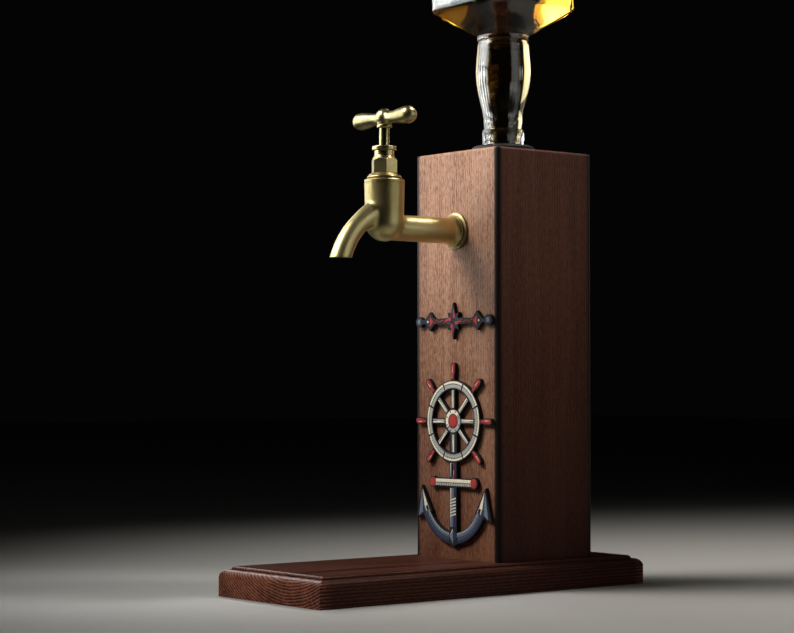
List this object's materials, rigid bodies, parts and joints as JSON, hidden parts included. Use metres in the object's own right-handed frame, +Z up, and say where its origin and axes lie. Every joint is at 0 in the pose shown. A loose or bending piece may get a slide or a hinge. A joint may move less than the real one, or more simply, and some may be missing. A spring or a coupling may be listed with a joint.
{
  "type": "spirit dispenser",
  "caption": "Wooden countertop spirit dispenser: a square bottle stands neck down in a hollow column and feeds a brass bib tap with a T-handle over a moulded base.",
  "frame": {"origin": "centre of the base's underside", "axes": "+Z up, -Y from the column towards the tap's spout, +X to the right when seen from the tap's side"},
  "size_m": [0.12, 0.3014, 0.5846],
  "materials": {
    "base_wood": "dark red-brown stain, satin varnish",
    "column_wood": "red-brown stain, satin varnish",
    "inner_wood": "raw softwood",
    "brass": "satin antique brass",
    "steel": "plain steel",
    "rubber": "black rubber",
    "fibre": "red fibre",
    "plate": "printed cut-out with black edges",
    "glass": "clear glass"
  },
  "bodies": {
    "stand": {"base_plank": "base_wood", "column_front": "column_wood", "column_back": "column_wood", "column_left": "column_wood", "column_right": "column_wood", "column_top_block": "column_wood", "column_foot_block": "inner_wood", "base_screws": "steel", "emblem_plate": "plate", "ornament_plate": "plate", "neck_seat": "rubber", "feed_cup": "steel", "cup_washer": "rubber", "feed_elbow": "brass", "tap_body": "brass", "wall_flange": "brass", "back_washer": "rubber", "back_nut": "brass", "bonnet_washer": "fibre", "bonnet": "brass", "gland_packing": "rubber", "gland_nut": "brass"},
    "valve": {"jumper": "brass", "tap_washer": "rubber", "washer_nut": "brass"},
    "spindle_and_handle": {"spindle": "brass", "t_handle": "brass", "handle_grub_screw": "steel"},
    "bottle": {"bottle": "glass"}
  },
  "joints": [
    {"name": "jumper_lift", "type": "slide", "parent": "stand", "child": "valve", "axis": [0, 0, 1], "range_m": [0, 0.0045]},
    {"name": "handle_turn", "type": "hinge", "parent": "valve", "child": "spindle_and_handle", "pos_m": [0, -0.0492, 0.3], "axis": [0, 0, 1], "range_deg": [0, 540]},
    {"name": "bottle_lift", "type": "slide", "parent": "stand", "child": "bottle", "axis": [0, 0, 1], "range_m": [0, 0.06]}
  ],
  "couplings": [
    {"joint": "jumper_lift", "follows": "handle_turn", "m_per_rad": 0.00047746}
  ]
}
